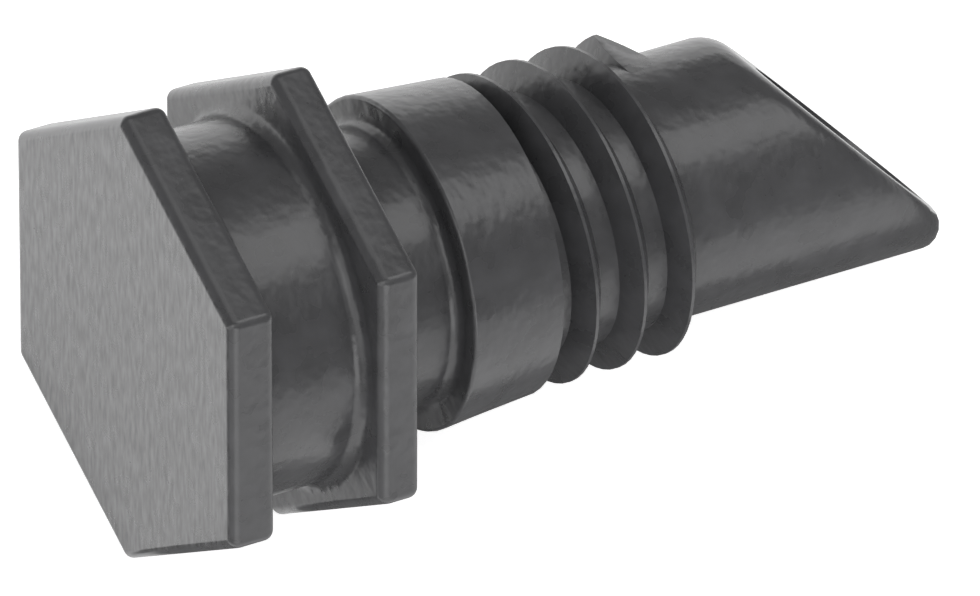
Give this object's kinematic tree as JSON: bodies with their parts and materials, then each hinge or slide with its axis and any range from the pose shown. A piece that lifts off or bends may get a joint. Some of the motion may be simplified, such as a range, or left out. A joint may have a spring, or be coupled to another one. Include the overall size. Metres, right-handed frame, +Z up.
{
  "type": "tube end plug",
  "caption": "Dark plastic end plug with two hexagon grip plates, a collar, a coarse right-hand thread and a hollow barrel cut off at a slant; closes the end of a small soft tube.",
  "frame": {"origin": "centre of the footprint on the floor plane, under the middle of the plug's length as it lies at rest", "axes": "+X along the floor from the hexagon head to the slanted tip, in the upright plane through the plug's axis; +Z up; +Y to the left of someone looking along +X"},
  "size_m": [0.0166, 0.009, 0.0082],
  "materials": {
    "body": "satin as-moulded surface, faint flow marks"
  },
  "bodies": {
    "root": {"plug": "body"}
  },
  "joints": []
}
